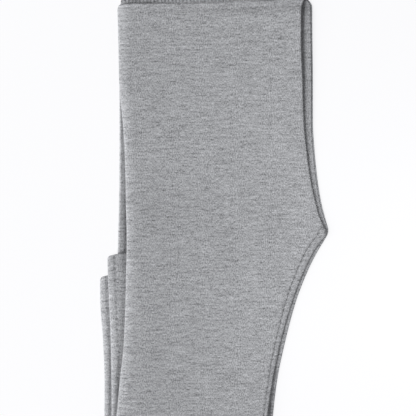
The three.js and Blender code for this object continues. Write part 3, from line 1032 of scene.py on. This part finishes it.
class Finish:
    """A material built from expressions."""

    def __init__(self, name):
        self.material = bpy.data.materials.new(name)
        self.material.use_nodes = True
        self.tree = self.material.node_tree
        self.tree.nodes.clear()

    def node(self, kind, settings=None, values=(), output=0):
        """Any node: its settings first, then the values or links of its sockets."""
        made = self.tree.nodes.new(kind)
        for key, setting in (settings or {}).items():
            setattr(made, key, setting)
        listed = values.items() if isinstance(values, dict) else enumerate(values)
        for key, value in listed:
            if isinstance(value, Value):
                self.tree.links.new(value.socket, made.inputs[key])
            else:
                made.inputs[key].default_value = value
        return Value(self, made.outputs[output]) if made.outputs else None

    def parts(self, vector):
        """The first two parts of a vector."""
        split = self.node("ShaderNodeSeparateXYZ", {}, [vector]).socket.node
        return Value(self, split.outputs[0]), Value(self, split.outputs[1])

    def weave(self, sizes, shift=(0.0, 0.0, 0.0)):
        """The cloth's own coordinates, counted in repeats of the given sizes in millimetres."""
        where = self.node("ShaderNodeUVMap", {"uv_map": "weave"})
        scale = tuple(1 / (size * MM) for size in sizes) + (1.0,)
        values = {"Vector": where, "Scale": scale, "Location": shift}
        return self.node("ShaderNodeMapping", {}, values)

    def grain(self, sizes, shift, detail=2.0, rough=0.6):
        """Soft noise stretched to the given sizes, about zero."""
        where = self.weave(sizes, shift)
        values = {"Vector": where, "Scale": 1.0, "Detail": detail, "Roughness": rough}
        return self.node("ShaderNodeTexNoise", {"noise_dimensions": "2D"}, values) - 0.5

    def tinted(self, color, shade):
        """A colour made lighter or darker by a value."""
        values = {0: color, "Scale": shade}
        return self.node("ShaderNodeVectorMath", {"operation": "SCALE"}, values)

    def close(self, color, height, depth, roughness=0.93, sheen=0.12):
        """Ends the material: a rough cloth of the given colour and height."""
        values = {"Height": height, "Distance": depth, "Strength": 1.0}
        bump = self.node("ShaderNodeBump", {}, values)
        shader = self.node(
            "ShaderNodeBsdfPrincipled",
            {},
            {
                "Base Color": color,
                "Roughness": roughness,
                "Specular IOR Level": 0.25,
                "Sheen Weight": sheen,
                "Sheen Roughness": 0.5,
                "Normal": bump,
            },
        )
        self.node("ShaderNodeOutputMaterial", {}, {"Surface": shader})
        return self.material


GREY = (0.352, 0.357, 0.372)


def melange(finish):
    """Light and dark fibres: fine flecks, short streaks along the courses, and dark slubs."""
    fleck = finish.grain((0.64, 0.98), (3.0, 7.0, 0.0), 2.0)
    streak = finish.grain((3.0, 1.3), (31.0, 5.0, 0.0), 2.0)
    drift = finish.grain((15.0, 1.5), (64.0, 21.0, 0.0), 2.0)
    slub = finish.grain((8.0, 1.5), (17.0, 40.0, 0.0), 1.0)
    dark = (slub * -1 - 0.1).at_least(0.0)
    cloud = finish.grain((30.0, 14.0), (8.0, 2.0, 0.0), 2.0)
    shade = fleck * 1.85 + streak * 0.8 + drift * 0.7 - dark * 1.05 + cloud * 0.1
    return shade + 1.03


def knit_loops(finish, pitch, column_height, loop_height):
    """Knit columns and courses at a pitch across and along, as a height."""
    columns, courses = finish.parts(finish.weave(pitch))
    column = (columns.fraction() - 0.5).magnitude()
    loop = ((courses + column * 0.8) * (2 * math.pi)).sine()
    return (column * -2 + 1) * column_height + loop * loop_height


# The needle dimples and their painted shade: how wide a seam shows, how long its stitches are,
# and how wide a row of hem stitches shows
SEAM_SHOWS = 1.4
SEAM_STITCH = 3.4
HEM_SHOWS = 0.6


def needle_dimples_and_painted_shade(finish):
    """Needle dimples along the sewn seams and the two stitched rows of each hem, for the bumps and
    for the painted shade in them.
    """
    seam = finish.node("ShaderNodeAttribute", {"attribute_name": "seam"}, (), 2)
    beside = (1 - seam / SEAM_SHOWS).at_least(0.0).at_most(1.0)
    _, along = finish.parts(finish.weave((1.0, SEAM_STITCH)))
    wave = (along * (2 * math.pi)).sine() * 0.5 + 0.5
    wander = finish.grain((1.6, 1.6), (50.0, 9.0, 0.0), 1.0)
    sewn = beside * (wave * 0.9 + wander * 1.4 + 0.15).at_least(0.0)
    hem = finish.node("ShaderNodeAttribute", {"attribute_name": "hem"}, (), 2)
    hemmed = (1 - hem / HEM_SHOWS).at_least(0.0).at_most(1.0)
    return sewn + hemmed * (wander * 4.0 + 0.3).at_least(0.0) * 1.1


def jersey():
    finish = Finish("grey_melange_jersey")
    knit = knit_loops(finish, (0.85, 0.6), 0.35, 0.3)
    # Needle dimples: bumps in the height, and painted shade that darkens the colour in them
    dimples_and_painted_shade = needle_dimples_and_painted_shade(finish)
    # The colour also follows the knit loops' height: painted light on the loops and painted shade
    # between them
    shade = melange(finish) * (1 - dimples_and_painted_shade * 0.38) * (1 + knit * 0.05)
    height = knit * 0.3 + shade * 0.6 - dimples_and_painted_shade * 0.8
    return finish.close(finish.tinted(GREY, shade), height, 0.00018)


# Painted shade: the rib's colour is darkened to stand in for the shade in its furrows.
RIB_FURROW_PAINTED_SHADE = 0.74


def rib_knit():
    finish = Finish("grey_melange_rib")
    knit = knit_loops(finish, (0.55, 0.7), 0.6, 0.25)
    # The colour follows the knit loops' height (painted light and shade), and is darkened by the
    # painted furrow shade
    shade = melange(finish) * (1 + knit * 0.06) * RIB_FURROW_PAINTED_SHADE
    return finish.close(finish.tinted(GREY, shade), knit * 0.5 + shade * 0.5, 0.0002)


THREAD_COLOR = (0.22, 0.223, 0.235)


def thread():
    finish = Finish("grey_sewing_thread")
    where = finish.node("ShaderNodeTexCoord", {}, (), 3)
    values = {"Vector": where, "Scale": 2600.0, "Detail": 1.0}
    twist = finish.node("ShaderNodeTexNoise", {}, values) - 0.5
    color = finish.tinted(THREAD_COLOR, 1 + twist * 0.6)
    return finish.close(color, twist, 0.00005, roughness=0.7, sheen=0.05)


# ---------------------------------------------------------------- making the pieces

def dress(piece, finish, slot, *nodes):
    piece.data.materials.append(finish)
    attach(piece, "root")
    if nodes:
        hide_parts(*nodes)
    return piece


JERSEY = jersey()
RIB = rib_knit()
THREAD_GREY = thread()

PANELS = [
    dict(name="right_front_jersey", node="right_front_panel", half=RIGHT, wall="front"),
    dict(name="right_back_jersey", node="right_back_panel", half=RIGHT, wall="back"),
    dict(name="left_back_jersey", node="left_back_panel", half=LEFT, wall="back"),
    dict(name="left_front_jersey", node="left_front_panel", half=LEFT, wall="front"),
]
SECTION_OF = {"front": front_section, "back": back_section}
for panel in PANELS:
    piece = loft(panel["name"], leg_rows(panel["half"]), SECTION_OF[panel["wall"]], panel["wall"])
    dress(piece, JERSEY, "jersey", panel["node"])
band = dress(waistband(), RIB, "rib", "waistband")

# Each hem's stitches start this far from the outer edge, and end under the layer above
HEMS = [
    dict(name="left_hem_stitches", half=LEFT, wall="back", start=SIDE_SEAM + 0.5, end=-45.0),
    dict(name="right_hem_stitches", half=RIGHT, wall="front", start=3.0, end=-55.0),
]
for hem in HEMS:
    half, wall = hem["half"], hem["wall"]
    start = half.shank_side(half.hem) + hem["start"]
    runs = [hem_run(half, wall, row, start, hem["end"]) for row in HEM_STITCH_ROWS[wall]]
    dress(stitches(hem["name"], runs), THREAD_GREY, "jersey")

# ---------------------------------------------------------------- table, light and camera

TABLE_REACH = 3.0
TABLE_DROP = 0.0001
TABLE_GLOW = 0.85


def table_top():
    bm = bmesh.new()
    bmesh.ops.create_grid(bm, x_segments=1, y_segments=1, size=TABLE_REACH)
    bmesh.ops.translate(bm, verts=bm.verts, vec=(0.0, 0.0, -TABLE_DROP))
    top = finished("table_top", bm)
    finish = Finish("white_table")
    matt = finish.node("ShaderNodeBsdfDiffuse", {}, {"Color": (0.93, 0.93, 0.94, 1.0)})
    glow = finish.node(
        "ShaderNodeEmission", {}, {"Color": (0.985, 0.985, 1.0, 1.0), "Strength": 1.0}
    )
    white = finish.node("ShaderNodeMixShader", {}, [TABLE_GLOW, matt, glow])
    finish.node("ShaderNodeOutputMaterial", {}, {"Surface": white})
    top.data.materials.append(finish.material)


AMBIENT = 0.16
SOFTBOXES = [
    dict(name="left_softbox", place=(-2.45, -0.9, 1.7), width=2.8, height=2.6, power=165.0),
    dict(name="right_softbox", place=(0.17, -0.06, 0.14), width=0.1, height=0.16, power=0.115),
]


def softbox(name, place, width, height, power):
    """A soft rectangular light that faces the middle of the garment."""
    light = bpy.data.lights.new(name, "AREA")
    light.shape = "RECTANGLE"
    light.size = width
    light.size_y = height
    light.energy = power
    lamp = bpy.data.objects.new(name, light)
    lamp.location = place
    lamp.rotation_euler = (-Vector(place)).to_track_quat("-Z", "Y").to_euler()
    lamp.visible_camera = False
    bpy.context.scene.collection.objects.link(lamp)


def studio():
    scene = bpy.context.scene
    world = bpy.data.worlds.new("studio")
    world.use_nodes = True
    background = world.node_tree.nodes["Background"]
    background.inputs["Color"].default_value = (1.0, 1.0, 1.0, 1.0)
    background.inputs["Strength"].default_value = AMBIENT
    scene.world = world
    scene.view_settings.view_transform = "Standard"
    for box in SOFTBOXES:
        softbox(**box)


VIEW_CENTRE = Vector((-4.0, 3.2, 5.0)) * MM
VIEW_WIDTH = 257.9 * MM
CAMERA_HEIGHT = 1.6
SENSOR = 36.0
NEAREST = 0.05
FURTHEST = 20.0


def camera():
    lens = bpy.data.cameras.new("camera")
    lens.sensor_width = SENSOR
    lens.lens = SENSOR * CAMERA_HEIGHT / VIEW_WIDTH
    lens.clip_start = NEAREST
    lens.clip_end = FURTHEST
    stand = bpy.data.objects.new("camera", lens)
    stand.location = VIEW_CENTRE + Vector((0.0, 0.0, CAMERA_HEIGHT))
    bpy.context.scene.collection.objects.link(stand)
    bpy.context.scene.camera = stand


table_top()
studio()
camera()
